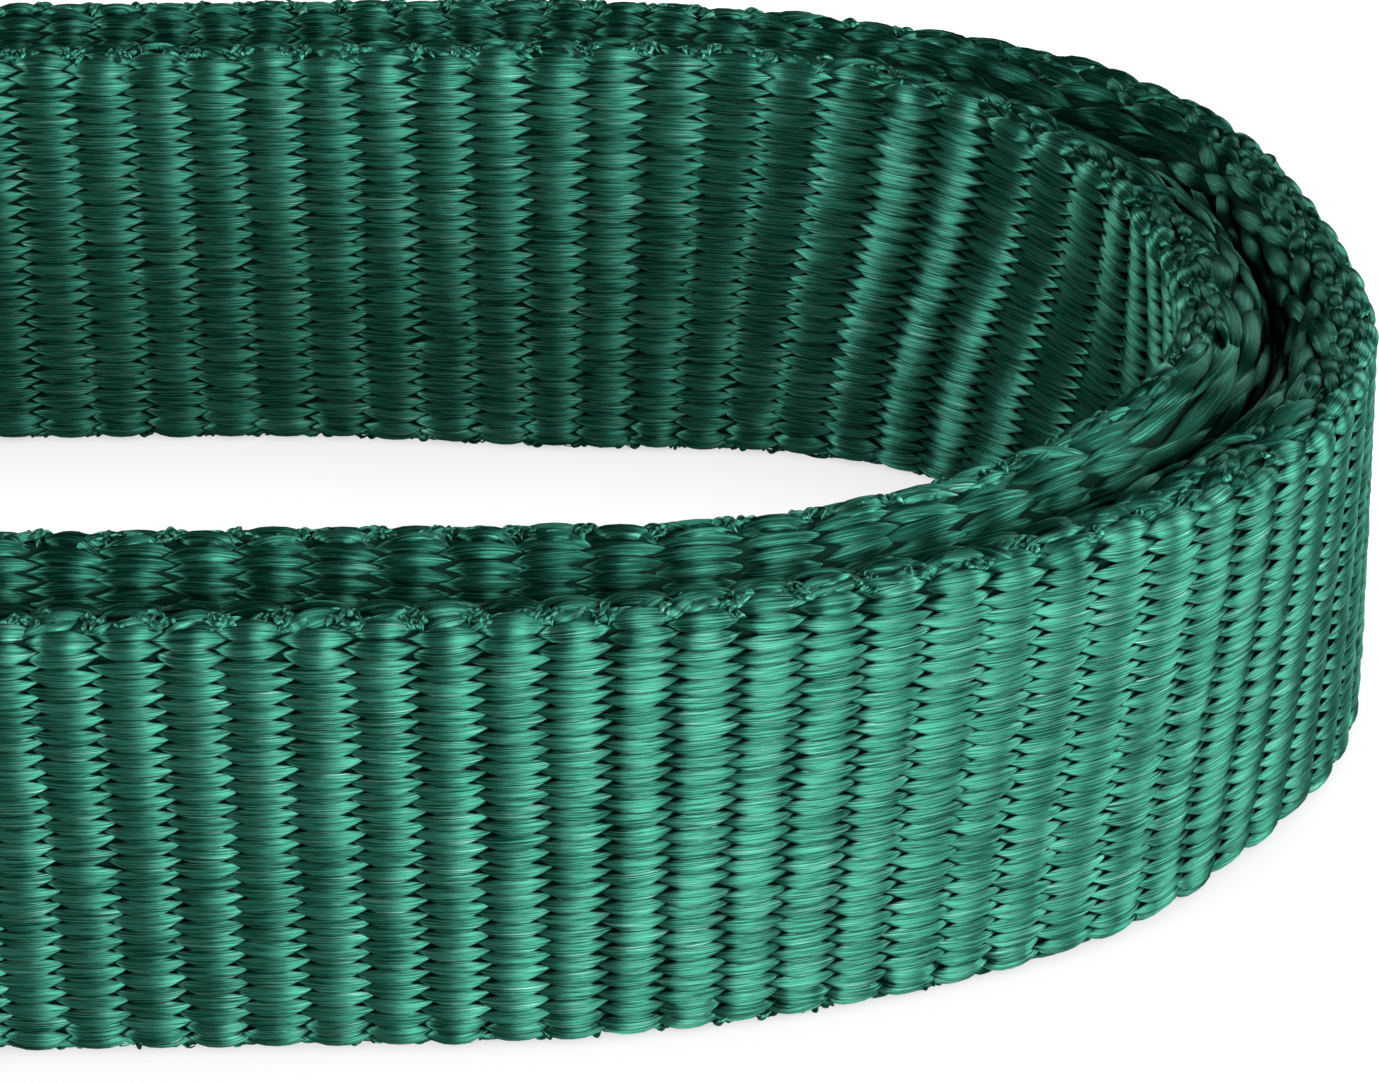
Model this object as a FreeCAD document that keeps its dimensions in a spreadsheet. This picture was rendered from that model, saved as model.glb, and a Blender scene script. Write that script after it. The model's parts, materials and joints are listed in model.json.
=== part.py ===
"""Round sling: an endless yarn core inside a woven cover, laid on its edge as a long loop.

Row frame: +Z is the width of the webbing, X runs along the two legs, and the origin is the middle of
the loop on the surface that the sling stands on. Millimetres.
"""

import FreeCAD, Part
import math
import os
import Sketcher

TURN_COLUMNS = 2
TURN_ROWS = 10
SLEEVE_ROW_STITCHES = 13
LABEL_ROW_STITCHES = 11
LEAST_CUT = 1e-6
NEAR = 1e-4
HALF_TURN = 180

# Driving dimensions: alias, value, meaning.
DIMENSIONS = [
    ("WebHeight", 50.0, "flat width of the sling, upright here"),
    ("SeatHalfWidth", 49.5, "inside of the loop: from its middle to a leg"),
    ("SeatStraight", 165.0, "inside of the loop: half the straight length of a leg"),
    ("SeatFlank", 63.9, "inside of the loop: wide arc between leg and tip"),
    ("SeatTip", 37.7, "inside of the loop: tight arc round the tip"),
    ("MiddleHalfWidth", 57.8, "middle of the webbing's thickness: from the loop's middle to a leg"),
    ("MiddleStraight", 158.5, "middle of the webbing: half the straight length of a leg"),
    ("MiddleFlank", 89.3, "middle of the webbing: wide arc between leg and tip"),
    ("MiddleTip", 45.5, "middle of the webbing: tight arc round the tip"),
    ("OutsideHalfWidth", 66.1, "outside of the loop: from its middle to a leg"),
    ("OutsideStraight", 147.0, "outside of the loop: half the straight length of a leg"),
    ("OutsideFlank", 152.2, "outside of the loop: wide arc between leg and tip"),
    ("OutsideTip", 57.2, "outside of the loop: tight arc round the tip"),
    ("MatingGap", 0.4, "between the two walls of the cover"),
    ("SelvedgeRadius", 3.4, "rounding of a wall's upper and lower edges"),
    ("PocketHeight", 36.0, "height of the space for the core"),
    ("PocketDepth", 3.9, "how far that space reaches into each wall"),
    ("ChannelHeight", 1.4, "groove for an edge seam thread"),
    ("ChannelDepth", 0.5, "how far that groove reaches into each wall"),
    ("ChannelInset", 5.0, "middle of an edge seam from the nearer edge"),
    ("ThreadDiameter", 1.2, "edge seam thread"),
    ("TurnDiameter", 3.3, "one turn of the load-bearing yarn"),
    ("TurnPitch", 3.45, "turns one above the other"),
    ("ColumnPitch", 3.5, "turns side by side"),
    ("TieWidth", 12.0, "tape round the core, along the leg"),
    ("TieThickness", 0.3, "tape round the core"),
    ("TieClearance", 0.15, "between tape and core"),
    ("TieStation", 85.0, "a tape's distance from the middle of its leg"),
    ("SleeveMiddle", 40.0, "place of the sleeve along the front leg"),
    ("SleeveLength", 30.0, "sleeve, along the leg"),
    ("SleeveCloth", 1.2, "thickness of the sleeve"),
    ("SleeveClearance", 0.15, "between sleeve and cover"),
    ("SleeveCorner", 2.0, "rounding of the sleeve's long corners"),
    ("WaistDepth", 1.5, "how far the sleeve draws in each edge of the cover"),
    ("WaistMargin", 1.0, "drawn-in stretch past each end of the sleeve"),
    ("LabelHeight", 40.0, "label, upright"),
    ("LabelThickness", 0.8, "label material"),
    ("TabLength", 12.0, "part of the label that is sewn down"),
    ("FlapLength", 85.0, "part of the label that swings"),
    ("HingeClearance", 1.0, "from the fold's axis to each part of the label"),
    ("HingeStandoff", 0.55, "from the label's face out to the fold's axis"),
    ("StitchLength", 2.2, "one visible stitch"),
    ("StitchWidth", 0.8, "one visible stitch"),
    ("StitchHeight", 0.4, "how far a stitch stands proud"),
    ("StitchPitch", 3.4, "from stitch to stitch"),
    ("RowInset", 3.0, "first stitch row from the end of the sleeve or tab"),
    ("RowPitch", 4.0, "between the two rows of a pair"),
]


class Size:
    """A length known as a number and as the spreadsheet expression that gives it."""

    def __init__(self, value, text):
        self.value = value
        self.text = text

    def __add__(self, other):
        other = as_size(other)
        return Size(self.value + other.value, f"({self.text} + {other.text})")

    def __sub__(self, other):
        other = as_size(other)
        return Size(self.value - other.value, f"({self.text} - {other.text})")

    def __mul__(self, factor):
        return Size(self.value * factor, f"({self.text} * {factor})")

    def __neg__(self):
        return self * -1


def as_size(thing):
    return thing if isinstance(thing, Size) else Size(thing, str(thing))


def driving_dimensions(doc):
    """Writes the sheet and returns each of its cells as a Size."""
    sheet = doc.addObject("Spreadsheet::Sheet", "Dims")
    sizes = {}
    for row, (alias, value, meaning) in enumerate(DIMENSIONS, start=1):
        sheet.set(f"A{row}", meaning)
        sheet.set(f"B{row}", str(value))
        sheet.setAlias(f"B{row}", alias)
        sizes[alias] = Size(value, f"Dims.{alias}")
    doc.recompute()
    return sizes


doc = FreeCAD.newDocument("RoundSling")
dim = driving_dimensions(doc)
pieces = []


def master_track(name):
    """A closed path round the loop: how wide, how long its straights are, and its two kinds of arc."""
    return tuple(dim[name + part] for part in ("HalfWidth", "Straight", "Flank", "Tip"))


def beside(track, distance):
    """The path that keeps a distance outside another one."""
    half_width, straight, flank, tip = track
    return (half_width + distance, straight, flank + distance, tip + distance)


# The loop has three master paths. The faces that touch the core all keep a distance to the middle one.
seat = master_track("Seat")
middle = master_track("Middle")
outside = master_track("Outside")
half_gap = dim["MatingGap"] * 0.5
pocket_reach = half_gap + dim["PocketDepth"]
channel_reach = half_gap + dim["ChannelDepth"]

mid_height = dim["WebHeight"] * 0.5
sleeve_start = dim["SleeveMiddle"] - dim["SleeveLength"] * 0.5
sleeve_end = dim["SleeveMiddle"] + dim["SleeveLength"] * 0.5
sleeve_lining = dim["OutsideHalfWidth"] + dim["SleeveClearance"]
sleeve_face = sleeve_lining + dim["SleeveCloth"]
sleeve_back_lining = dim["SeatHalfWidth"] - dim["SleeveClearance"]
sleeve_back = sleeve_back_lining - dim["SleeveCloth"]
label_face = sleeve_face + dim["LabelThickness"]
hinge_x = sleeve_start - dim["HingeClearance"] * 0.5


def bind(thing, path, size):
    thing.setExpression(path, size.text)


def new_body(label):
    """A piece of the sling: its label names its file."""
    body = doc.addObject("PartDesign::Body", "Body_" + label)
    body.Label = label
    pieces.append(body)
    return body


def origin_plane(body, role):
    return next(f for f in body.Origin.OriginFeatures if f.Role == role)


def new_sketch(body, role, offset=None):
    """A sketch on one of the body's own origin planes, moved off it along the normal by offset."""
    sketch = body.newObject("Sketcher::SketchObject", "Sketch")
    sketch.AttachmentSupport = (origin_plane(body, role), "")
    sketch.MapMode = "FlatFace"
    if offset is not None:
        bind(sketch, "AttachmentOffset.Base.z", offset)
    return sketch


def size_constraint(sketch, kind, where, size):
    index = sketch.addConstraint(Sketcher.Constraint(kind, *where, size.value))
    bind(sketch, f"Constraints[{index}]", size)


def draw_track(sketch, track):
    """Two straight legs joined by two end loops, each a tight arc between two wide ones."""
    half_width, straight, flank, tip = track
    h, x, rf, rt = (size.value for size in track)
    turn = math.acos((rf - h) / (rf - rt))
    tip_x = x + (rf - rt) * math.sin(turn)
    quarter = math.pi / 2

    def line(start, end):
        return sketch.addGeometry(Part.LineSegment(FreeCAD.Vector(*start, 0), FreeCAD.Vector(*end, 0)))

    def arc(centre_x, centre_y, radius, start, end):
        circle = Part.Circle(FreeCAD.Vector(centre_x, centre_y, 0), FreeCAD.Vector(0, 0, 1), radius)
        return sketch.addGeometry(Part.ArcOfCircle(circle, start, end))

    back = line((x, h), (-x, h))
    left_back = arc(-x, h - rf, rf, quarter, quarter + turn)
    left_tip = arc(-tip_x, 0, rt, quarter + turn, 3 * quarter - turn)
    left_front = arc(-x, rf - h, rf, 3 * quarter - turn, 3 * quarter)
    front = line((-x, -h), (x, -h))
    right_front = arc(x, rf - h, rf, -quarter, turn - quarter)
    right_tip = arc(tip_x, 0, rt, turn - quarter, quarter - turn)
    right_back = arc(x, h - rf, rf, quarter - turn, quarter)

    chain = [back, left_back, left_tip, left_front, front, right_front, right_tip, right_back]
    for here, there in zip(chain, chain[1:] + chain[:1]):
        sketch.addConstraint(Sketcher.Constraint("Tangent", here, 2, there, 1))
    sketch.addConstraint(Sketcher.Constraint("Horizontal", back))
    sketch.addConstraint(Sketcher.Constraint("Horizontal", front))
    for end in (left_tip, right_tip):
        sketch.addConstraint(Sketcher.Constraint("PointOnObject", end, 3, -1))
    sketch.addConstraint(Sketcher.Constraint("Equal", left_tip, right_tip))
    for other in (left_front, right_front, right_back):
        sketch.addConstraint(Sketcher.Constraint("Equal", left_back, other))
    size_constraint(sketch, "Radius", (left_tip,), tip)
    size_constraint(sketch, "Radius", (left_back,), flank)
    size_constraint(sketch, "DistanceY", (-1, 1, back, 1), half_width)
    size_constraint(sketch, "DistanceY", (front, 1, -1, 1), half_width)
    size_constraint(sketch, "DistanceX", (-1, 1, back, 1), straight)
    size_constraint(sketch, "DistanceX", (back, 2, -1, 1), straight)


def draw_rectangle(sketch, low, high):
    """An upright rectangle between two corners, each a pair of Sizes."""
    x0, y0 = low[0].value, low[1].value
    x1, y1 = high[0].value, high[1].value
    corners = [(x0, y0), (x1, y0), (x1, y1), (x0, y1)]
    sides = []
    for here, there in zip(corners, corners[1:] + corners[:1]):
        line = Part.LineSegment(FreeCAD.Vector(*here, 0), FreeCAD.Vector(*there, 0))
        sides.append(sketch.addGeometry(line))
    for side, following in zip(sides, sides[1:] + sides[:1]):
        sketch.addConstraint(Sketcher.Constraint("Coincident", side, 2, following, 1))
    for side, kind in zip(sides, ("Horizontal", "Vertical", "Horizontal", "Vertical")):
        sketch.addConstraint(Sketcher.Constraint(kind, side))
    size_constraint(sketch, "DistanceX", (-1, 1, sides[0], 1), low[0])
    size_constraint(sketch, "DistanceY", (-1, 1, sides[0], 1), low[1])
    size_constraint(sketch, "DistanceX", (-1, 1, sides[2], 1), high[0])
    size_constraint(sketch, "DistanceY", (-1, 1, sides[2], 1), high[1])


def pad(body, sketch, length, midplane=False):
    feature = body.newObject("PartDesign::Pad", "Pad")
    feature.Profile = sketch
    bind(feature, "Length", length)
    feature.Midplane = midplane
    return feature


def ring_pocket(body, reach, bottom, height):
    """Cuts the band between the middle path and the one a reach beside it, from bottom upwards."""
    sketch = new_sketch(body, "XY_Plane", bottom)
    draw_track(sketch, middle)
    draw_track(sketch, beside(middle, reach))
    doc.recompute()
    before = body.Shape.Volume
    pocket = body.newObject("PartDesign::Pocket", "Pocket")
    pocket.Profile = sketch
    bind(pocket, "Length", height)
    pocket.Reversed = True
    doc.recompute()
    if body.Shape.Volume > before - LEAST_CUT:
        raise RuntimeError(body.Label + ": a pocket cuts nothing")


def waist_cut(body, bottom):
    """Lowers a wall's edge where the sleeve draws it in, on the front leg."""
    before = body.Shape.Volume
    box = body.newObject("PartDesign::SubtractiveBox", "Waist")
    bind(box, "Length", dim["SleeveLength"] + dim["WaistMargin"] * 2)
    bind(box, "Width", dim["OutsideHalfWidth"])
    bind(box, "Height", dim["WaistDepth"])
    bind(box, "Placement.Base.x", sleeve_start - dim["WaistMargin"])
    bind(box, "Placement.Base.y", -dim["OutsideHalfWidth"])
    bind(box, "Placement.Base.z", bottom)
    doc.recompute()
    if body.Shape.Volume > before - LEAST_CUT:
        raise RuntimeError(body.Label + ": a waist cuts nothing")


def edges_at_heights(shape, heights):
    """Names of the level edges that lie at one of the heights."""
    names = []
    for index, edge in enumerate(shape.Edges, start=1):
        box = edge.BoundBox
        level = box.ZLength < NEAR
        if level and any(abs(box.ZMin - height) < NEAR for height in heights):
            names.append(f"Edge{index}")
    return names


def cover_wall(label, inner_face, outer_face, side):
    """One woven wall: a thick ribbon round the loop with rounded selvedges, hollowed for the core.

    side is +1 for the wall outside the middle path and -1 for the one inside it.
    """
    body = new_body(label)
    sketch = new_sketch(body, "XY_Plane")
    draw_track(sketch, inner_face)
    draw_track(sketch, outer_face)
    ribbon = pad(body, sketch, dim["WebHeight"])
    doc.recompute()
    rounding = body.newObject("PartDesign::Fillet", "Selvedges")
    heights = (0.0, dim["WebHeight"].value)
    rounding.Base = (ribbon, edges_at_heights(ribbon.Shape, heights))
    bind(rounding, "Radius", dim["SelvedgeRadius"])
    doc.recompute()
    pocket_bottom = mid_height - dim["PocketHeight"] * 0.5
    ring_pocket(body, pocket_reach * side, pocket_bottom, dim["PocketHeight"])
    lower = dim["ChannelInset"] - dim["ChannelHeight"] * 0.5
    upper = dim["WebHeight"] - dim["ChannelInset"] - dim["ChannelHeight"] * 0.5
    for bottom in (lower, upper):
        ring_pocket(body, channel_reach * side, bottom, dim["ChannelHeight"])
    for bottom in (as_size(0.0), dim["WebHeight"] - dim["WaistDepth"]):
        waist_cut(body, bottom)


def strand(label, track, diameter, height):
    """A round strand that runs once round the loop at one height."""
    body = new_body(label)
    path = new_sketch(body, "XY_Plane", height)
    draw_track(path, track)
    section = new_sketch(body, "YZ_Plane")
    place = track[0]
    centre = FreeCAD.Vector(place.value, height.value, 0)
    circle = section.addGeometry(Part.Circle(centre, FreeCAD.Vector(0, 0, 1), diameter.value / 2))
    size_constraint(section, "DistanceX", (-1, 1, circle, 3), place)
    size_constraint(section, "DistanceY", (-1, 1, circle, 3), height)
    size_constraint(section, "Diameter", (circle,), diameter)
    doc.recompute()
    pipe = body.newObject("PartDesign::AdditivePipe", "Yarn")
    pipe.Profile = section
    pipe.Spine = path


def core_turns():
    """The load-bearing yarn, one solid for each turn that it makes round the loop."""
    count = 0
    for column in range(TURN_COLUMNS):
        track = beside(middle, dim["ColumnPitch"] * (column - (TURN_COLUMNS - 1) / 2))
        for row in range(TURN_ROWS):
            count += 1
            height = mid_height + dim["TurnPitch"] * (row - (TURN_ROWS - 1) / 2)
            strand(f"core_turn_{count:02d}", track, dim["TurnDiameter"], height)


def core_tie(label, station, side):
    """A thin tape wrapped round the bundle of turns on one leg."""
    body = new_body(label)
    sketch = new_sketch(body, "YZ_Plane")
    half_width = (dim["ColumnPitch"] + dim["TurnDiameter"]) * 0.5 + dim["TieClearance"]
    stack = dim["TurnPitch"] * (TURN_ROWS - 1) + dim["TurnDiameter"]
    half_height = stack * 0.5 + dim["TieClearance"]
    leg = dim["MiddleHalfWidth"] * side
    for grow in (as_size(0.0), dim["TieThickness"]):
        low = (leg - half_width - grow, mid_height - half_height - grow)
        high = (leg + half_width + grow, mid_height + half_height + grow)
        draw_rectangle(sketch, low, high)
    pad(body, sketch, dim["TieWidth"], midplane=True)
    bind(body, "Placement.Base.x", station)


def closing_sleeve():
    """The band that closes the cover where its two ends meet, drawn tight round the front leg."""
    body = new_body("closing_sleeve")
    sketch = new_sketch(body, "YZ_Plane")
    draw_rectangle(sketch, (-sleeve_face, as_size(0.0)), (-sleeve_back, dim["WebHeight"]))
    lining = dim["WaistDepth"] - dim["SleeveClearance"]
    low = (-sleeve_lining, lining)
    high = (-sleeve_back_lining, dim["WebHeight"] - lining)
    draw_rectangle(sketch, low, high)
    band = pad(body, sketch, dim["SleeveLength"], midplane=True)
    doc.recompute()
    rounding = body.newObject("PartDesign::Fillet", "Corners")
    rounding.Base = (band, long_outer_corners(band.Shape))
    bind(rounding, "Radius", dim["SleeveCorner"])
    bind(body, "Placement.Base.x", dim["SleeveMiddle"])


def long_outer_corners(shape):
    """Names of the edges along X at the band's outer corners."""
    box = shape.BoundBox
    names = []
    for index, edge in enumerate(shape.Edges, start=1):
        span = edge.BoundBox
        along = span.XLength > box.XLength / 2
        side = min(abs(span.YMin - box.YMin), abs(span.YMin - box.YMax)) < NEAR
        level = min(abs(span.ZMin - box.ZMin), abs(span.ZMin - box.ZMax)) < NEAR
        if along and side and level:
            names.append(f"Edge{index}")
    return names


def label_plate(label, start, end):
    """A flat piece of label material upright against the front leg, from start to end along X."""
    body = new_body(label)
    sketch = new_sketch(body, "XZ_Plane")
    low = (start, mid_height - dim["LabelHeight"] * 0.5)
    high = (end, mid_height + dim["LabelHeight"] * 0.5)
    draw_rectangle(sketch, low, high)
    pad(body, sketch, dim["LabelThickness"])
    bind(body, "Placement.Base.y", -sleeve_face)


def stitch_rows(label, rows, count):
    """Upright rows of half-round stitches, each row at a place along X and on a face at a depth in Y.

    A row's direction is -1 where its face looks forward, towards -Y, and +1 where it looks back.
    """
    radius = dim["StitchWidth"] * 0.5
    upright = FreeCAD.Vector(0, 0, 1)
    stitches = []
    for place, depth, direction in rows:
        facing = FreeCAD.Rotation(upright, HALF_TURN if direction < 0 else 0)
        for index in range(count):
            bottom = mid_height + dim["StitchPitch"] * (index - (count - 1) / 2)
            bottom = bottom - dim["StitchLength"] * 0.5
            half_round = doc.addObject("Part::Cylinder", "Stitch")
            bind(half_round, "Radius", radius)
            bind(half_round, "Height", dim["StitchLength"])
            half_round.Angle = HALF_TURN
            half_round.Placement.Rotation = facing
            bind(half_round, "Placement.Base.x", place)
            bind(half_round, "Placement.Base.y", depth)
            bind(half_round, "Placement.Base.z", bottom)
            stitches.append(half_round)
    group = doc.addObject("Part::Compound", "Group_" + label)
    group.Links = stitches
    group.Label = label
    pieces.append(group)


def row_pair(first, step, depth, direction):
    return [(first, depth, direction), (first + dim["RowPitch"] * step, depth, direction)]


cover_wall("cover_inner_wall", seat, beside(middle, -half_gap), -1)
cover_wall("cover_outer_wall", beside(middle, half_gap), outside, 1)
core_turns()
for number, (sign, side) in enumerate([(-1, -1), (1, -1), (-1, 1), (1, 1)], start=1):
    core_tie(f"core_tie_{number}", dim["TieStation"] * sign, side)
strand("edge_seam_bottom", middle, dim["ThreadDiameter"], dim["ChannelInset"])
strand("edge_seam_top", middle, dim["ThreadDiameter"], dim["WebHeight"] - dim["ChannelInset"])
closing_sleeve()

tab_start = sleeve_start + dim["HingeClearance"] * 0.5
flap_end = sleeve_start - dim["HingeClearance"] * 1.5
label_plate("label_tab", tab_start, tab_start + dim["TabLength"])
label_plate("label_flap", flap_end - dim["FlapLength"], flap_end)

front_rows = row_pair(sleeve_end - dim["RowInset"], -1, -sleeve_face, -1)
back_rows = row_pair(sleeve_end - dim["RowInset"], -1, -sleeve_back, 1)
back_rows += row_pair(sleeve_start + dim["RowInset"], 1, -sleeve_back, 1)
stitch_rows("sleeve_stitches", front_rows + back_rows, SLEEVE_ROW_STITCHES)
tab_rows = row_pair(tab_start + dim["RowInset"], 1, -label_face, -1)
stitch_rows("label_stitches", tab_rows, LABEL_ROW_STITCHES)

doc.recompute()

for thing in doc.Objects:
    if "Invalid" in thing.State or "Error" in thing.State:
        raise RuntimeError(f"{thing.Name} failed: {thing.State}")
for piece in pieces:
    if piece.Shape.isNull() or not piece.Shape.isValid():
        raise RuntimeError(piece.Label + " has no valid shape")

os.makedirs("parts", exist_ok=True)
for piece in pieces:
    piece.Shape.exportStep(f"parts/{piece.Label}.step")
    box = piece.Shape.BoundBox
    print(f"{piece.Label}: {len(piece.Shape.Solids)} solids, {piece.Shape.Volume:.0f} mm3, "
          f"x {box.XMin:.2f}..{box.XMax:.2f}, y {box.YMin:.2f}..{box.YMax:.2f}, "
          f"z {box.ZMin:.2f}..{box.ZMax:.2f}")
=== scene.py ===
"""Looks of the round sling: woven cover, sleeve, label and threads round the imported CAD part."""

import json
import math

import bpy
import numpy as np
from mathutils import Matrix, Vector


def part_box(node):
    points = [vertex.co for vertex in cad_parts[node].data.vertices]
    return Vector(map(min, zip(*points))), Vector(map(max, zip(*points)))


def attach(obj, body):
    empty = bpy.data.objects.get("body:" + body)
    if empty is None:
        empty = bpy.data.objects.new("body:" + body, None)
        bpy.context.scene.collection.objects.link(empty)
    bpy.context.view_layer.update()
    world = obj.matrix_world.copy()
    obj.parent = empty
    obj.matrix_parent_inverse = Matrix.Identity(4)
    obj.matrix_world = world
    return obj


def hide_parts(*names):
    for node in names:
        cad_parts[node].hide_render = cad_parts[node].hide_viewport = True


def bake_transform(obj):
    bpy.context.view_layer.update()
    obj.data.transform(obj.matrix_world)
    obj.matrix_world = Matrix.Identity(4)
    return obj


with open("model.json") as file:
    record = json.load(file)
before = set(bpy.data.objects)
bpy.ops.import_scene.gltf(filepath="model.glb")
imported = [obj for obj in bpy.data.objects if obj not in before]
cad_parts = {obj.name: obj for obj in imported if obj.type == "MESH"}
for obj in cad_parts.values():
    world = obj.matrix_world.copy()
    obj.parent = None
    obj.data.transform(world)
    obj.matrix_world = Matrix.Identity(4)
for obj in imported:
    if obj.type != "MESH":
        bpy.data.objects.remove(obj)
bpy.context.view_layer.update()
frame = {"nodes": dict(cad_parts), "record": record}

MM = 0.001  # in metres: lengths are in mm up to new_mesh, and the camera, lights and materials in metres
TAU = 2 * math.pi
SEED = 50
rng = np.random.default_rng(SEED)


def box_mm(node):
    low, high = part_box(node)
    return np.array(low) / MM, np.array(high) / MM


# ---- the loop's paths

OUTER_LOW, OUTER_HIGH = box_mm("cover_outer_wall")
INNER_HIGH = box_mm("cover_inner_wall")[1]
SLEEVE_LOW, SLEEVE_HIGH = box_mm("closing_sleeve")
HEIGHT = OUTER_HIGH[2] - OUTER_LOW[2]
MID_Z = HEIGHT / 2
HALF_GAP = 0.2  # between the mating faces and the middle path
SELVEDGE = 2.6  # radius of a wall's edges on the side of its face
FLAT = MID_Z - SELVEDGE  # upright part of a face, from mid height
ROUND = SELVEDGE * math.pi / 2
SHOULDER = 5.2  # radius of the edge on the side of the other wall, which opens the groove between them
POCKET_HALF = 18.0  # space for the core: half its height, and its depth in a wall
POCKET_DEPTH = 3.9
LEG_THICKNESS = 16.6
SEATS = {mount["name"]: mount["pos_m"] for mount in frame["record"]["mounts"]}
SEAT_REACH = SEATS["loop_seat_right"][0] / MM


class Track:
    """A closed path round the loop: straight legs, and at each end a tight arc between two wide ones."""

    def __init__(self, half_width, reach, flank, tip):
        self.half_width = half_width
        self.flank = flank
        self.tip = tip
        self.turn = math.acos((flank - half_width) / (flank - tip))
        self.tip_x = reach - tip
        self.straight = self.tip_x - (flank - tip) * math.sin(self.turn)
        self.flank_end = self.straight + flank * self.turn
        self.quarter = self.flank_end + tip * (math.pi / 2 - self.turn)
        self.length = 4 * self.quarter

    def leg_distance(self, s):
        """Distance along the path from the middle of the nearer leg, and the quarter of the loop."""
        s = np.mod(s, self.length)
        lap = np.minimum((s / self.quarter).astype(int), 3)
        distance = np.where(lap % 2 == 0, s - lap * self.quarter, (lap + 1) * self.quarter - s)
        return distance, lap

    def at(self, s):
        """Points at distances s from the middle of the front leg, towards +X first, and outward normals."""
        distance, lap = self.leg_distance(s)
        bend = np.clip((distance - self.straight) / self.flank, 0, self.turn)
        bend = bend + np.maximum(distance - self.flank_end, 0) / self.tip
        sine, cosine = np.sin(bend), np.cos(bend)
        on_leg = distance < self.straight
        on_flank = distance < self.flank_end
        x = np.where(on_flank, self.straight + self.flank * sine, self.tip_x + self.tip * sine)
        x = np.where(on_leg, distance, x)
        flank_y = self.half_width - self.flank + self.flank * cosine
        y = np.where(on_flank, flank_y, self.tip * cosine)
        y = np.where(on_leg, self.half_width, y)
        side_x = np.where(lap < 2, 1.0, -1.0)
        side_y = np.where((lap == 1) | (lap == 2), 1.0, -1.0)
        points = np.stack([x * side_x, y * side_y], -1)
        normals = np.stack([sine * side_x, cosine * side_y], -1)
        return points, normals


outside = Track(half_width=OUTER_HIGH[1], reach=OUTER_HIGH[0], flank=152.2, tip=57.2)
middle = Track(half_width=INNER_HIGH[1] + HALF_GAP, reach=INNER_HIGH[0] + HALF_GAP, flank=89.3, tip=45.5)
seat = Track(half_width=OUTER_HIGH[1] - LEG_THICKNESS, reach=SEAT_REACH, flank=63.9, tip=37.7)
LINE_POINTS = 4000
MIDDLE_LINE = middle.at(np.linspace(0, middle.length, LINE_POINTS, endpoint=False))[0]
THICKNESS_STATIONS = 801

LEAN_HEIGHT = 21.0  # the ribs' lean fades towards the edges
# How far the bend at +X stands in, then where past its tip and over what reach, in quarters of the loop
TILT = (4.0, 0.04, 0.095)  # its top, just behind its tip
SPLAY = (4.2, 0.33, 0.115)  # its bottom, where the back leg begins
TUCK = (2.0, -0.155, 0.06)  # its bottom, before its tip
STANCE_FADE = 1.5  # power of their fall towards the other edge
SINK_FADE = 3  # power of the upper edge's sinking with height
PROUD_FADE = 8.0  # depth at which the front face's swelling ends
WAIST = 1.5  # how far the sleeve draws in the cover's upper and lower edge
WAIST_MARGIN = 1.0  # past the sleeve's ends it stays drawn in, and then it comes back out
WAIST_RUN = 6.0
SLEEVE_MID = (SLEEVE_LOW[0] + SLEEVE_HIGH[0]) / 2
SLEEVE_HALF = (SLEEVE_HIGH[0] - SLEEVE_LOW[0]) / 2


def hump(place, height, centre, reach):
    return height * np.exp(-(((place - centre) / reach) ** 2))


def drawn_in(xy, z):
    """Heights after the sleeve has drawn in the cover's edges on the front leg."""
    past = np.abs(xy[..., 0] - SLEEVE_MID) - SLEEVE_HALF - WAIST_MARGIN
    share = np.clip(1 - past / WAIST_RUN, 0, 1)
    share = share * share * (3 - 2 * share) * (xy[..., 1] < 0)
    return MID_Z + (z - MID_Z) * (1 - share * WAIST / MID_Z)


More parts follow.
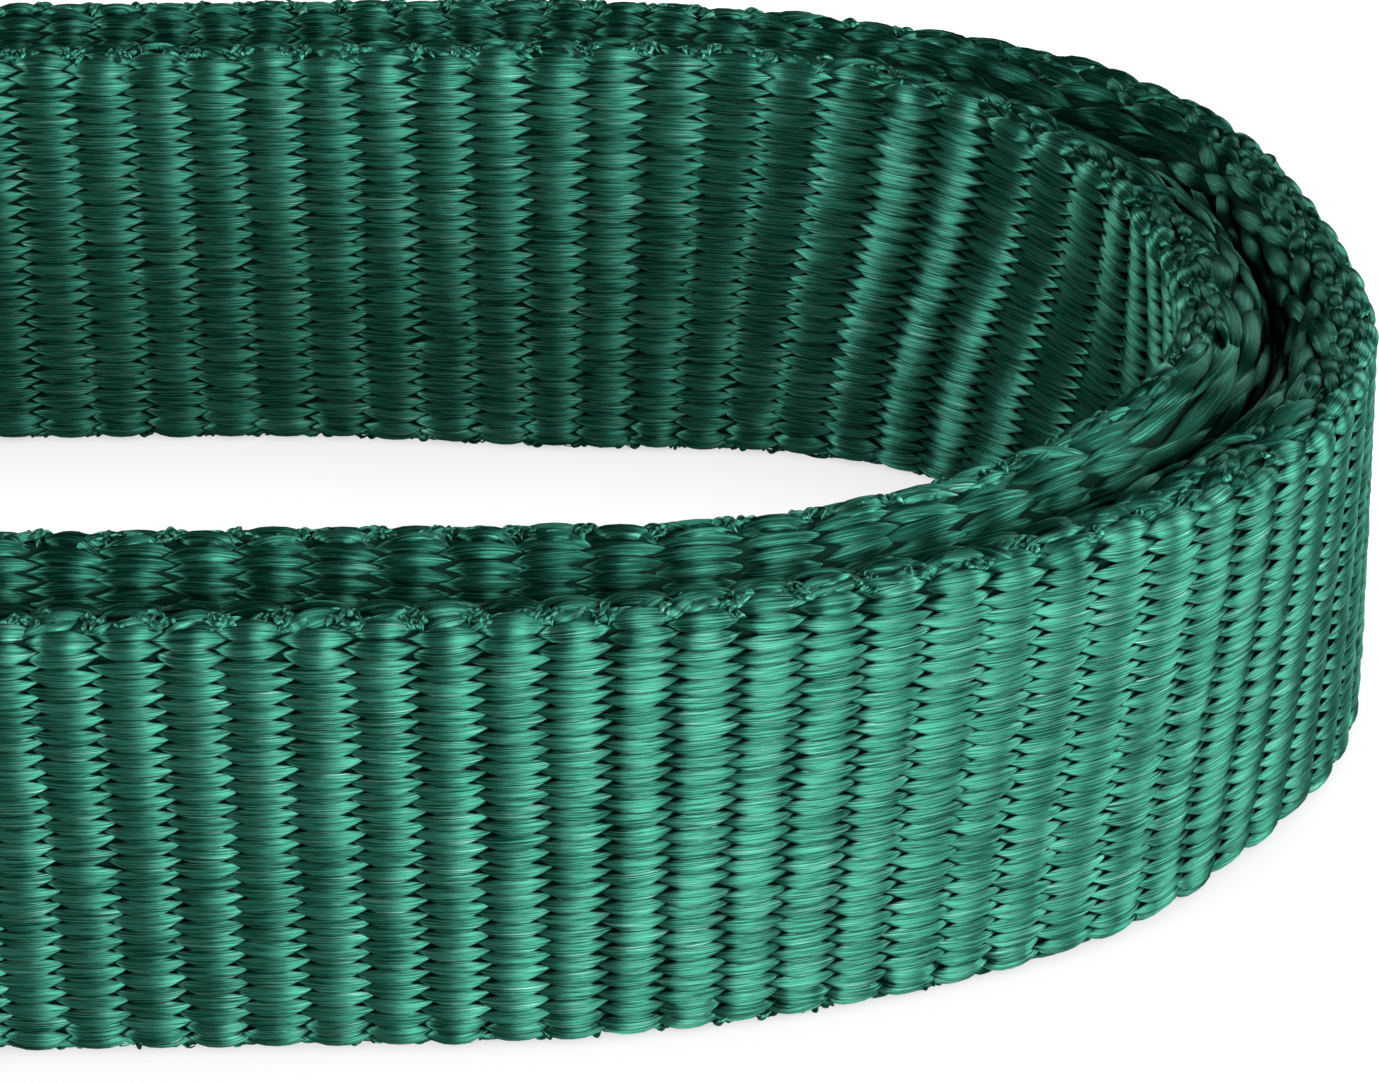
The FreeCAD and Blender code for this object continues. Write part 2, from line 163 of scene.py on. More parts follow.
class Wall:
    """One woven wall: its face follows a path and its back lies against the other wall."""

    def __init__(self, name, track, side, ribs, lean, proud=0.0, sink=0.0):
        self.name = name
        self.track = track
        self.side = side  # 1 where the face looks out of the loop, -1 where it looks in
        self.ribs = ribs
        self.pitch = track.length / ribs
        self.lean_places, self.lean_values = lean
        self.proud = proud  # how far the front leg's face swells out, and its upper edge sinks
        self.sink = sink
        self.stations = np.linspace(0, track.length, THICKNESS_STATIONS)
        points = track.at(self.stations)[0]
        gaps = [np.min(np.hypot(*(MIDDLE_LINE - point).T)) for point in points]
        self.thickness_at = np.array(gaps) - HALF_GAP

    def thickness(self, s):
        return np.interp(np.mod(s, self.track.length), self.stations, self.thickness_at)

    def place(self, s, u, lift):
        """Points at s along the face, u round the section from the face's mid height, raised by lift."""
        top = np.maximum(self.thickness(s) - SELVEDGE - SHOULDER, 0)
        over = np.abs(u)
        past_face = over - FLAT
        past_edge = past_face - ROUND
        past_top = past_edge - top
        first = np.clip(past_face / SELVEDGE, 0, math.pi / 2)
        second = np.clip(past_top / SHOULDER, 0, math.pi / 2)
        angle = first + second
        along_top = np.clip(past_edge, 0, top)
        down = np.maximum(past_top - SHOULDER * math.pi / 2, 0)
        depth = SELVEDGE * (np.cos(first) - 1) - along_top + SHOULDER * (np.cos(angle) - np.cos(first))
        rise = np.minimum(over, FLAT) + SELVEDGE * np.sin(first)
        rise = rise + SHOULDER * (np.sin(angle) - np.sin(first)) - down
        depth = depth + lift * np.cos(angle)
        rise = rise + lift * np.sin(angle)
        z = MID_Z + np.sign(u) * rise
        return self.standing(s, depth, z)

    def standing(self, s, depth, z):
        """Points at s along the face, a depth out from it and a height, as the loop leans and swells."""
        distance, lap = self.track.leg_distance(s)
        lean = np.interp(distance, self.lean_places, self.lean_values) * np.where(lap % 2 == 0, 1.0, -1.0)
        shifted = s + lean * LEAN_HEIGHT * np.tanh((z - MID_Z) / LEAN_HEIGHT)
        points, normals = self.track.at(shifted)
        place = (np.mod(shifted, self.track.length) - self.track.quarter) / self.track.quarter
        high = np.clip(z, 0, HEIGHT) / HEIGHT
        inward = hump(place, *TILT) * high ** STANCE_FADE
        inward = inward + hump(place, *SPLAY) * (1 - high) ** STANCE_FADE
        inward = inward + hump(place, *TUCK) * (1 - high) ** STANCE_FADE
        front = np.clip(-normals[..., 1], 0, 1) ** 2
        swell = self.proud * front * np.clip(1 + depth / PROUD_FADE, 0, 1)
        xy = points + normals * (self.side * depth - inward + swell)[..., None]
        z = drawn_in(xy, z - self.sink * front * high ** SINK_FADE)
        return np.concatenate([xy, z[..., None]], -1)


# ---- meshes

def new_mesh(name, points, faces, materials, face_material=None, fibre=None, tint=None, edge=None):
    """A smooth mesh object from points in mm and four-cornered faces, with the yarn's coordinates."""
    mesh = bpy.data.meshes.new(name)
    mesh.vertices.add(len(points))
    mesh.vertices.foreach_set("co", (np.asarray(points, float) * MM).astype(np.float32).ravel())
    corners = np.asarray(faces, np.int32)
    mesh.loops.add(corners.size)
    mesh.loops.foreach_set("vertex_index", corners.ravel())
    mesh.polygons.add(len(corners))
    mesh.polygons.foreach_set("loop_start", np.arange(0, corners.size, 4, dtype=np.int32))
    mesh.polygons.foreach_set("loop_total", np.full(len(corners), 4, np.int32))
    for material in materials:
        mesh.materials.append(material)
    if face_material is not None:
        mesh.polygons.foreach_set("material_index", np.asarray(face_material, np.int32))
    mesh.polygons.foreach_set("use_smooth", np.ones(len(corners), bool))
    if fibre is not None:
        layer = mesh.uv_layers.new(name="Fibre")
        layer.data.foreach_set("uv", np.asarray(fibre, np.float32)[corners.ravel()].ravel())
    for label, values in (("tint", tint), ("edge", edge)):
        if values is not None:
            attribute = mesh.attributes.new(label, "FLOAT", "POINT")
            attribute.data.foreach_set("value", np.asarray(values, np.float32))
    mesh.update(calc_edges=True)
    mesh.validate()
    thing = bpy.data.objects.new(name, mesh)
    bpy.context.scene.collection.objects.link(thing)
    return thing


def grid_faces(count, rings, across, closed=False, looped=False):
    """Faces of count grids of rings x across points each, joined up across or from last ring to first."""
    ring = np.arange(rings if looped else rings - 1)[:, None]
    beyond = (ring + 1) % rings
    step = np.arange(across if closed else across - 1)[None, :]
    following = (step + 1) % across
    quad = np.stack([
        ring * across + step,
        beyond * across + step,
        beyond * across + following,
        ring * across + following,
    ], -1).reshape(-1, 4)
    return (quad[None] + (np.arange(count) * rings * across)[:, None, None]).reshape(-1, 4)


class Batch:
    """Collects grids of points with the yarn's coordinates, and makes one object of them."""

    def __init__(self):
        self.points, self.faces, self.materials = [], [], []
        self.fibre, self.tint, self.edge = [], [], []
        self.total = 0

    def add(self, points, faces, material, fibre, tint, edge):
        self.points.append(points)
        self.faces.append(faces + self.total)
        self.materials.append(np.full(len(faces), material))
        self.fibre.append(fibre)
        self.tint.append(tint)
        self.edge.append(edge)
        self.total += len(points)

    def build(self, name, materials):
        joined = [np.concatenate(part) for part in (
            self.points, self.faces, self.materials, self.fibre, self.tint, self.edge)]
        points, faces, face_material, fibre, tint, edge = joined
        return new_mesh(name, points, faces, materials, face_material, fibre, tint, edge)


# ---- woven yarn

FLOAT_RINGS = np.array([-1.0, -0.88, -0.74, -0.56, -0.3, 0.0, 0.3, 0.56, 0.74, 0.88, 1.0])
FLOAT_ACROSS = np.array([-1.0, -0.8, -0.42, 0.0, 0.42, 0.8, 1.0])
COARSE_RINGS = np.array([-1.0, -0.8, -0.45, 0.0, 0.45, 0.8, 1.0])
COARSE_ACROSS = np.array([-1.0, -0.6, 0.0, 0.6, 1.0])
ROW = 1.74  # from one float to the next in a rib
POINT = 1.08  # power of a float's narrowing towards its ends
ARCH = 2.4  # power of its fall towards its ends
FLATNESS = 4.2  # power of its fall towards its edges
OVERLAP = 0.12  # how far its lower edge stands over the next one
EDGE_SHADE_SPREAD = 0.85  # how far the painted shade at its edges spreads inwards at its ends
STREAK_SHIFT = 40.0  # floats take their streaks from places up to this far apart


class Floats:
    """Leaf-shaped lengths of filament yarn that lie on a surface.

    s and u are a float's middle, along the surface and round its section, length and width are half of
    its own, and yaw turns it. peak and tip are the heights of its middle and its ends, round_off is the
    fall at its edges and soft the share of that fall at its middle. bow bends it sideways, taper is the
    share of its length with the full width, and shade darkens its colour as painted shade.
    """

    def __init__(self):
        self.rows = []

    def add(self, s, u, length, width, yaw, peak, tip, round_off, bow=0.0, taper=0.3, soft=0.3, shade=0.0):
        values = (s, u, length, width, yaw, peak, tip, round_off, bow, taper, soft, shade)
        columns = np.broadcast_arrays(*values)
        self.rows.append(np.stack([np.asarray(column, float).ravel() for column in columns], -1))

    def arrays(self):
        return np.concatenate(self.rows)


def float_grid(rows, rings, crossings):
    """Local coordinates of every float's points: along s, along u, lift, then fibre, tint and edge."""
    s, u, length, width, yaw, peak, tip, round_off, bow, taper, soft, shade = rows.T[:, :, None, None]
    a = rings[None, :, None]
    b = crossings[None, None, :]
    narrowing = np.clip((np.abs(a) - taper) / (1 - taper), 0, 1)
    breadth = 1 - narrowing ** POINT
    along = a * length
    across = b * width * breadth + bow * (1 - a * a)
    turn_s = along * np.cos(yaw) - across * np.sin(yaw)
    turn_u = along * np.sin(yaw) + across * np.cos(yaw)
    fall = round_off * (soft + (1 - soft) * a * a) * np.abs(b) ** FLATNESS * breadth
    lift = tip + (peak - tip) * (1 - np.abs(a) ** ARCH) - fall - OVERLAP * b * breadth
    count = len(rows)
    shift = rng.random((count, 2)) * STREAK_SHIFT
    fibre = np.stack([
        np.broadcast_to(along + shift[:, :1, None], turn_s.shape),
        np.broadcast_to(across + shift[:, 1:, None], turn_s.shape),
    ], -1)
    # a random tone for each float, less its painted shade
    tint = np.broadcast_to(rng.random(count)[:, None, None] - shade, turn_s.shape)
    edge = np.broadcast_to(np.abs(b) ** (1 - EDGE_SHADE_SPREAD * narrowing), turn_s.shape)
    return s + turn_s, u + turn_u, lift, fibre, tint, edge


def add_floats(batch, surface, rows, material, rings=FLOAT_RINGS, crossings=FLOAT_ACROSS):
    s, u, lift, fibre, tint, edge = float_grid(rows, rings, crossings)
    points = surface.place(s, u, lift).reshape(-1, 3)
    faces = grid_faces(len(rows), len(rings), len(crossings))
    batch.add(points, faces, material, fibre.reshape(-1, 2), tint.ravel(), edge.ravel())


def vary(spread, count=None):
    return rng.normal(0, spread, count)


# Places of the floats round the section, in even and in odd ribs
FACE_ROWS = (np.arange(-12, 13) * ROW, (np.arange(-12, 12) + 0.5) * ROW)  # from the face's mid height
CREST_ROWS = (np.array([22.8, 25.0]), np.array([21.8, 23.9]))
BACK_ROWS = (  # past the middle of the crest, on the side of the other wall
    np.array([1.5, 3.2, 4.9, 6.6, 8.3]),
    np.array([2.4, 4.1, 5.8, 7.5, 9.2]),
)
LONG_ROWS = (np.array([1.7, 5.1, 8.5]), np.array([0.2, 3.4, 6.8, 10.0]))  # the same, in a bend
LONG_FROM = 0.6  # how far into a bend its long floats begin, from 0 to 1
BEND_START = 175.0  # distance from the middle of a leg at which a bend begins, and the run to its full look
BEND_RUN = 60.0
RIB_WAVES = ((0.10, 0.21), (0.07, 0.55), (0.04, 1.3))  # heights and rates of a rib's wandering
LOOSE_SHARE = 0.03  # floats of the face that stand a little off their place


class Rib:
    """One rib of a wall: where its middle line lies, and how far into a bend."""

    def __init__(self, wall, number, drift, swell, phase):
        self.pitch = wall.pitch
        self.odd = number % 2
        self.centre = (number + 0.5) * wall.pitch + drift
        self.swell = swell
        self.phase = phase
        distance, _ = wall.track.leg_distance(np.array([self.centre]))
        self.bent = float(np.clip((distance[0] - BEND_START) / BEND_RUN, 0, 1))
        self.mess = 1 + 2.0 * self.bent
        thick = float(wall.thickness(np.array([self.centre]))[0])
        self.spread = max(thick - SELVEDGE - SHOULDER, 0.0) / 2
        self.top = FLAT + ROUND + self.spread

    def line(self, u):
        """Places along the wall of the rib's middle line, at places u round the section."""
        waves = [height * np.sin(u * rate + start) for (height, rate), start in zip(RIB_WAVES, self.phase)]
        return self.centre + sum(waves)


def wall_floats(wall):
    """Every float of a wall. Neighbouring ribs are offset by half a float."""
    found = Floats()
    drift = vary(0.09, wall.ribs)
    swell = vary(0.035, wall.ribs)
    phase = rng.random((wall.ribs, 3)) * TAU
    for number in range(wall.ribs):
        rib = Rib(wall, number, drift[number], swell[number], phase[number])
        face_floats(found, rib)
        for sign in (1, -1):
            crest_floats(found, rib, sign)
            back_floats(found, rib, sign)
            arched_float(found, rib, sign)
            slanting_ribbons(found, rib, sign)
            small_loops(found, rib, sign)
            bend_ribbons(found, rib, sign)
            dark_floats(found, rib, sign)
    return found.arrays()


def face_floats(found, rib):
    rows = FACE_ROWS[rib.odd]
    n = len(rows)
    loose = (rng.random(n) < LOOSE_SHARE) * vary(1, n)
    u = rows + vary(0.045, n) + loose * 0.18
    found.add(
        s=rib.line(u) + vary(0.05, n),
        u=u,
        length=rib.pitch * 0.68 * (1 + rib.swell + vary(0.02, n)),
        width=ROW * 0.57 * (1 + vary(0.03, n)) * (1 + np.abs(loose) * 0.1),
        yaw=vary(0.018, n) + loose * 0.03,
        peak=0.06 + vary(0.03, n) + np.abs(loose) * 0.06,
        tip=-0.74, round_off=0.42,
        bow=-0.22 + vary(0.04, n),
        taper=0.26, soft=0.14,
    )


def crest_floats(found, rib, sign):
    """The two larger floats where the face turns into an edge."""
    rows = CREST_ROWS[rib.odd]
    n = len(rows)
    u = rows + vary(0.08, n)
    found.add(
        s=rib.line(u * sign) + vary(0.08, n) * rib.mess,
        u=sign * u,
        length=rib.pitch * 0.64 * (1 + vary(0.03, n)),
        width=np.array([1.12, 1.35]) * (1 + vary(0.05, n)),
        yaw=vary(0.03, n) * rib.mess,
        peak=np.array([0.15, 0.3]) + vary(0.06, n),
        tip=-0.95,
        round_off=np.array([0.45, 0.9]),
        taper=np.array([0.34, 0.45]),
        soft=np.array([0.4, 0.8]),
    )


def back_floats(found, rib, sign):
    """The floats past the crest, darkened by painted shade. In a bend there are fewer of them, and they are
    longer and darker.
    """
    in_bend = rib.bent > LONG_FROM
    rows = LONG_ROWS[rib.odd] if in_bend else BACK_ROWS[rib.odd]
    reach = 1.2 if in_bend else 0.64 + 0.3 * rib.bent
    n = len(rows)
    u = rib.top + rows + vary(0.08, n) * rib.mess
    found.add(
        s=rib.line(u * sign) + vary(0.08, n) * rib.mess * 2,
        u=sign * u,
        length=rib.pitch * reach * (1 + vary(0.03, n) * rib.mess),
        width=(0.92 + 0.33 * rib.bent) * (1 + vary(0.05, n)),
        yaw=vary(0.03, n) * rib.mess * 2,
        peak=0.15 + vary(0.08, n) * rib.mess,
        tip=-0.95, round_off=0.9, taper=0.38 - 0.1 * rib.bent, soft=0.6,
        shade=1.0 + 1.2 * rib.bent,
    )


# Yarn that lies on the crest: place along the wall as a share of the pitch, across, length, width, slant
ARCHES = ((0.05, 0.45, 3.1, 0.72, -0.12), (0.0, -0.1, 3.6, 0.9, 0.10))  # in even and in odd ribs
RIBBONS = (
    (0.0, -0.75, 2.5, 0.75, 0.35),
    (-0.4, -0.9, 2.2, 0.7, 0.5),
    (0.17, 0.15, 2.3, 0.6, 0.65),
    (0.4, -0.4, 2.0, 0.5, -0.55),
)
LOOPS = 7  # small loops beside each rib on the legs, and long ribbons in their place in a bend
BEND_RIBBONS = 4


def arched_float(found, rib, sign):
    place, across, length, width, slant = ARCHES[rib.odd]
    found.add(
        s=rib.centre + rib.pitch * place + vary(0.3),
        u=sign * (rib.top + across + vary(0.15)),
        length=length * (1 + vary(0.06)),
        width=width * (1 + vary(0.08)),
        yaw=sign * (slant + vary(0.05 + 0.15 * rib.bent)),
        peak=0.36 + vary(0.08),
        tip=-0.8, round_off=0.8, bow=sign * 0.4, taper=0.25, soft=0.9,
        # painted shade darkens the arched float, more so in a bend
        shade=0.8 + 1.2 * rib.bent,
    )


def slanting_ribbons(found, rib, sign):
    for place, across, length, width, slant in RIBBONS:
        found.add(
            s=rib.centre + rib.pitch * (place + vary(0.04)),
            u=sign * (rib.top + across * (1 + rib.spread) + vary(0.15 + rib.spread * 0.2)),
            length=length * (1 + vary(0.1)),
            width=width * (1 + vary(0.12)),
            yaw=sign * slant * (1 - 0.5 * rib.bent) * (1 + vary(0.2)),
            peak=0.08 + vary(0.1),
            tip=-0.6, round_off=0.5,
            bow=vary(0.2),
            # painted shade darkens the ribbons in a bend
            soft=1.0, shade=2.0 * rib.bent,
        )


def small_loops(found, rib, sign):
    for _ in range(int(round(LOOPS * (1 - rib.bent)))):
        found.add(
            s=rib.centre + rib.pitch * (0.5 + vary(0.13)),
            u=sign * (rib.top - 0.7 + vary(0.5)),
            length=1.1 + vary(0.2),
            width=0.28 + vary(0.03),
            yaw=rng.uniform(0, math.pi),
            peak=0.3 + vary(0.1),
            tip=-0.5, round_off=0.3,
            bow=vary(0.35),
            soft=1.0,
        )


def bend_ribbons(found, rib, sign):
    for _ in range(int(round(BEND_RIBBONS * rib.bent))):
        found.add(
            s=rib.centre + rib.pitch * rng.uniform(-0.5, 0.5),
            u=sign * (rib.top + vary(0.5 + rib.spread * 0.5)),
            length=4.4 + vary(0.5),
            width=0.8 + vary(0.1),
            yaw=vary(0.28),
            peak=0.45 + vary(0.15),
            tip=-0.9, round_off=0.7,
            bow=vary(0.3),
            # painted shade darkens the long ribbons
            taper=0.2, soft=1.0, shade=2.0 * rib.bent,
        )


def dark_floats(found, rib, sign):
    """Deep floats, darkened by painted shade, that close the crest under the ribbons and loops."""
    for across in (-0.9, 0.1, 1.0):
        found.add(
            s=rib.centre + vary(0.2),
            u=sign * (rib.top + across * (1 + rib.spread)),
            length=rib.pitch * 0.62, width=0.8 + rib.spread * 0.4,
            yaw=vary(0.05),
            peak=-0.45, tip=-1.0, round_off=0.3, taper=0.4, soft=0.6, shade=1.6,
        )


# ---- ground of a wall

GROUND_PHASE = np.array([0.0, 0.18, 0.5, 0.82])  # places in a rib's pitch, and the ground's depths there
GROUND_DEPTH = np.array([1.3, 1.0, 0.8, 1.0])
GROUND_BACK = 0.9  # how far the ground stays in from the other wall, from the edge and from the shoulder
GROUND_EDGE = 0.6
GROUND_SHOULDER = 0.3
POCKET_ROOM = 0.4  # how far it stays clear of the core's space


def ground_section(thick, depth):
    """Corners of the dark body of a wall: depth in from the face and height over mid height."""
    back = thick - GROUND_BACK
    radius = SELVEDGE - depth
    half = MID_Z - GROUND_EDGE
    rear = SHOULDER - GROUND_SHOULDER
    top_reach = max(back - rear, depth + radius)
    pocket = POCKET_HALF + POCKET_ROOM
    pocket_wall = -thick + POCKET_DEPTH
    turns = np.linspace(0, math.pi / 2, 5)
    line = [(-depth, z) for z in np.linspace(0, half - radius, 7)[:-1]]
    line += [(-depth - radius + radius * math.cos(t), half - radius + radius * math.sin(t)) for t in turns]
    line += [(-top_reach - rear * math.sin(t), half - rear + rear * math.cos(t)) for t in turns]
    line += [(-back, pocket), (pocket_wall, pocket), (pocket_wall, POCKET_HALF / 2)]
    mirrored = [(d, -z) for d, z in reversed(line) if z > 0]
    line.append((pocket_wall, 0.0))
    return np.array(line + mirrored)


def add_ground(batch, wall, first_rib, last_rib, material):
    """The closed body behind the floats, from one rib boundary to another."""
    ribs = np.arange(first_rib, last_rib)
    s = (ribs[:, None] + GROUND_PHASE[None]).ravel() * wall.pitch
    depth = np.tile(GROUND_DEPTH, len(ribs))
    s = np.append(s, last_rib * wall.pitch)
    depth = np.append(depth, GROUND_DEPTH[0])
    thick = wall.thickness(s)
    sections = np.stack([ground_section(t, d) for t, d in zip(thick, depth)])
    rings, across = sections.shape[:2]
    s = np.broadcast_to(s[:, None], (rings, across))
    flat = wall.standing(s, sections[..., 0], MID_Z + sections[..., 1]).reshape(-1, 3)
    faces = grid_faces(1, rings, across, closed=True)
    fibre = np.stack(np.broadcast_arrays(s, np.arange(across) * 1.5), -1)
    batch.add(flat, faces, material, fibre.reshape(-1, 2), np.full(len(flat), 0.5), np.zeros(len(flat)))


HIDDEN_MARGIN = 2.0  # from the sleeve's ends to the cover's floats that are left out under it


def sleeve_covers(wall, rows):
    """True for the floats that the sleeve hides."""
    points = wall.place(rows[:, 0], rows[:, 1], np.zeros(len(rows)))
    return (np.abs(points[:, 0] - SLEEVE_MID) < SLEEVE_HALF - HIDDEN_MARGIN) & (points[:, 1] < 0)


# ---- materials

COLOUR_MIX_INPUTS = (0, 6, 7)  # a mix node's sockets for colours: the share, then the two colours
COLOUR_MIX_OUTPUT = 2
RELIEF = 0.0001  # height of the fine relief, in metres
FINE_BRIGHTNESS = 5.0  # how strongly the yarn's fine and broad streaks show
BROAD_BRIGHTNESS = 1.5
TONE_AND_SHADE_SPAN = 0.3  # how much one float differs from the next, and how far its painted shade darkens it
PALE_FROM = 0.62  # level of the noise above which a filament is pale, and how sharply it gets so
PALE_RISE = 6.0
EDGE_SHADE_POWER = 8.0  # painted shade at a float's edges: how close to them it reaches, how dark it is and in what colour
EDGE_SHADE_STRENGTH = 0.85
EDGE_SHADE_COLOUR = 0.15


def node(tree, kind, **settings):
    made = tree.nodes.new(kind)
    for name, value in settings.items():
        setattr(made, name, value)
    return made


def feed(socket, value):
    """Links an input to another node's output, or sets its value."""
    if isinstance(value, bpy.types.NodeSocket):
        socket.id_data.links.new(value, socket)
    elif socket.type == "RGBA":
        socket.default_value = (*value, 1.0)
    else:
        socket.default_value = value


def settle(made, **values):
    """Feeds a node's inputs by name, with _ for each space."""
    for name, value in values.items():
        feed(made.inputs[name.replace("_", " ")], value)


def maths(tree, operation, *values, clamp=False):
    made = node(tree, "ShaderNodeMath", operation=operation, use_clamp=clamp)
    for socket, value in zip(made.inputs, values):
        feed(socket, value)
    return made.outputs[0]


def mixed(tree, share, first, second):
    made = node(tree, "ShaderNodeMix", data_type="RGBA")
    for index, value in zip(COLOUR_MIX_INPUTS, (share, first, second)):
        feed(made.inputs[index], value)
    return made.outputs[COLOUR_MIX_OUTPUT]


def stretched_noise(tree, vector, scale, detail=3.0, roughness=0.6):
    mapping = node(tree, "ShaderNodeMapping")
    settle(mapping, Vector=vector, Scale=scale)
    noise = node(tree, "ShaderNodeTexNoise")
    settle(noise, Vector=mapping.outputs[0], Scale=1.0, Detail=detail, Roughness=roughness)
    return noise.outputs["Fac"]


def parts(tree, vector):
    made = node(tree, "ShaderNodeSeparateXYZ")
    settle(made, Vector=vector)
    return list(made.outputs)


def centred(tree, value):
    return maths(tree, "SUBTRACT", value, 0.5)


def relief(tree, height, strength):
    bump = node(tree, "ShaderNodeBump")
    settle(bump, Height=height, Strength=strength, Distance=RELIEF)
    return bump.outputs[0]


def new_material(name):
    material = bpy.data.materials.new(name)
    material.use_nodes = True
    tree = material.node_tree
    return material, tree, tree.nodes["Principled BSDF"]


def silk(name, deep, body, bright, roughness=0.48, grain=1.0):
    """Filament yarn: streaks along the fibre, finer with more grain, painted shade at its edges, a long
    silky highlight.
    """
    material, tree, shader = new_material(name)
    uv = node(tree, "ShaderNodeUVMap", uv_map="Fibre").outputs[0]
    tint = node(tree, "ShaderNodeAttribute", attribute_name="tint").outputs["Fac"]
    edge = node(tree, "ShaderNodeAttribute", attribute_name="edge").outputs["Fac"]
    broad = stretched_noise(tree, uv, (0.14 * grain, 1.9 * grain, 1.0), 2.0)
    fine = stretched_noise(tree, uv, (0.16 * grain, 6.4 * grain, 1.0), 3.0, 0.75)
    pale = stretched_noise(tree, uv, (0.12 * grain, 7.5 * grain, 1.0), 1.0)
    slack = stretched_noise(tree, uv, (0.55 * grain, 3.6 * grain, 1.0), 2.0)
    level = maths(tree, "MULTIPLY_ADD", centred(tree, fine), FINE_BRIGHTNESS, 0.5)
    level = maths(tree, "MULTIPLY_ADD", centred(tree, broad), BROAD_BRIGHTNESS, level)
    # each float's random tone, less its painted shade
    float_level = maths(tree, "MULTIPLY_ADD", tint, TONE_AND_SHADE_SPAN, -TONE_AND_SHADE_SPAN / 2)
    level = maths(tree, "ADD", level, float_level, clamp=True)
    colour = mixed(tree, level, deep, body)
    pale = maths(tree, "MULTIPLY", maths(tree, "SUBTRACT", pale, PALE_FROM), PALE_RISE, clamp=True)
    # painted shade also dims a float's pale filaments
    pale = maths(tree, "MULTIPLY", pale, maths(tree, "ADD", tint, 0.5, clamp=True))
    colour = mixed(tree, pale, colour, bright)
    # painted shade: darkens each float towards its edges, more widely at its ends
    side = maths(tree, "MULTIPLY", maths(tree, "POWER", edge, EDGE_SHADE_POWER), EDGE_SHADE_STRENGTH)
    colour = mixed(tree, side, colour, tuple(c * EDGE_SHADE_COLOUR for c in deep))
    settle(
        shader,
        Base_Color=colour,
        Metallic=0.85,
        Roughness=roughness,
        Anisotropic=1.0,
        Anisotropic_Rotation=0.25,
        IOR=1.5,
        Specular_IOR_Level=0.8,
        Specular_Tint=(0.7, 1.0, 0.92),
        Tangent=node(tree, "ShaderNodeTangent", direction_type="UV_MAP", uv_map="Fibre").outputs[0],
        Normal=relief(tree, maths(tree, "MULTIPLY_ADD", fine, 0.5, slack), 0.6),
    )
    return material


def ground_cloth(name, deep, body):
    """The body behind the floats: the same yarn, coloured near black as painted shade."""
    material, tree, shader = new_material(name)
    uv = node(tree, "ShaderNodeUVMap", uv_map="Fibre").outputs[0]
    level = stretched_noise(tree, uv, (0.6, 2.0, 1.0))
    settle(shader, Base_Color=mixed(tree, level, deep, body), Roughness=0.9, Specular_IOR_Level=0.1)
    return material


CLOTH_THREAD = 0.55  # two threads of the label's cloth
RULE_STEP = 3.0  # the frame's long lines lie at odd multiples of this from the middle, up to FRAME_HALF
RULE_FROM = 2.86
FRAME_HALF = 15.2
FRAME_MIDDLE = -22.0  # its middle and half its length along X
FRAME_REACH = 30.0
FRAME_POST = 0.15  # half the width of the lines across it
FRAME_COLOUR = (0.62, 0.66, 0.70)
RUBBED_FROM = 0.97  # share of the way out to an edge from which it is rubbed, and how sharply
RUBBED_RISE = 14.0


def ruled_frame(tree, u, v):
    """1 on the lines of an empty ruled frame, 0 elsewhere."""
    rules = maths(tree, "GREATER_THAN", maths(tree, "PINGPONG", v, RULE_STEP), RULE_FROM)
    inside = maths(tree, "LESS_THAN", maths(tree, "ABSOLUTE", v), FRAME_HALF)
    along = maths(tree, "ABSOLUTE", maths(tree, "SUBTRACT", u, FRAME_MIDDLE))
    stretch = maths(tree, "LESS_THAN", along, FRAME_REACH)
    from_end = maths(tree, "ABSOLUTE", maths(tree, "SUBTRACT", along, FRAME_REACH - FRAME_POST))
    ends = maths(tree, "LESS_THAN", from_end, FRAME_POST)
    centre = maths(tree, "LESS_THAN", along, FRAME_POST)
    lines = maths(tree, "MAXIMUM", rules, maths(tree, "MAXIMUM", ends, centre))
    return maths(tree, "MULTIPLY", maths(tree, "MULTIPLY", lines, inside), stretch)


def coated_cloth(name, base, light, worn):
    """Blue label cloth: plain weave under a thin coating, a pale ruled frame, rubbed edges."""
    material, tree, shader = new_material(name)
    uv = node(tree, "ShaderNodeUVMap", uv_map="Fibre").outputs[0]
    edge = node(tree, "ShaderNodeAttribute", attribute_name="edge").outputs["Fac"]
    u, v, _ = parts(tree, uv)
    warp = maths(tree, "SINE", maths(tree, "MULTIPLY", u, TAU / CLOTH_THREAD))
    weft = maths(tree, "SINE", maths(tree, "MULTIPLY", v, TAU / CLOTH_THREAD))
    weave = maths(tree, "MULTIPLY", warp, weft)
    cloud = stretched_noise(tree, uv, (0.12, 0.12, 1.0), 4.0)
    speck = stretched_noise(tree, uv, (2.5, 2.5, 1.0), 2.0)
    level = maths(tree, "MULTIPLY_ADD", weave, 0.10, maths(tree, "MULTIPLY_ADD", speck, 0.5, cloud))
    colour = mixed(tree, maths(tree, "SUBTRACT", level, 0.35, clamp=True), base, light)
    patchy = maths(tree, "MULTIPLY_ADD", speck, 0.8, 0.35, clamp=True)
    printed = maths(tree, "MULTIPLY", ruled_frame(tree, u, v), patchy)
    colour = mixed(tree, printed, colour, FRAME_COLOUR)
    rubbed = maths(tree, "ADD", edge, maths(tree, "MULTIPLY", speck, 0.05))
    rubbed = maths(tree, "MULTIPLY", maths(tree, "SUBTRACT", rubbed, RUBBED_FROM), RUBBED_RISE, clamp=True)
    settle(
        shader,
        Base_Color=mixed(tree, rubbed, colour, worn),
        Roughness=maths(tree, "MULTIPLY_ADD", cloud, 0.25, 0.33),
        Normal=relief(tree, maths(tree, "ADD", weave, cloud), 0.5),
    )
    return material


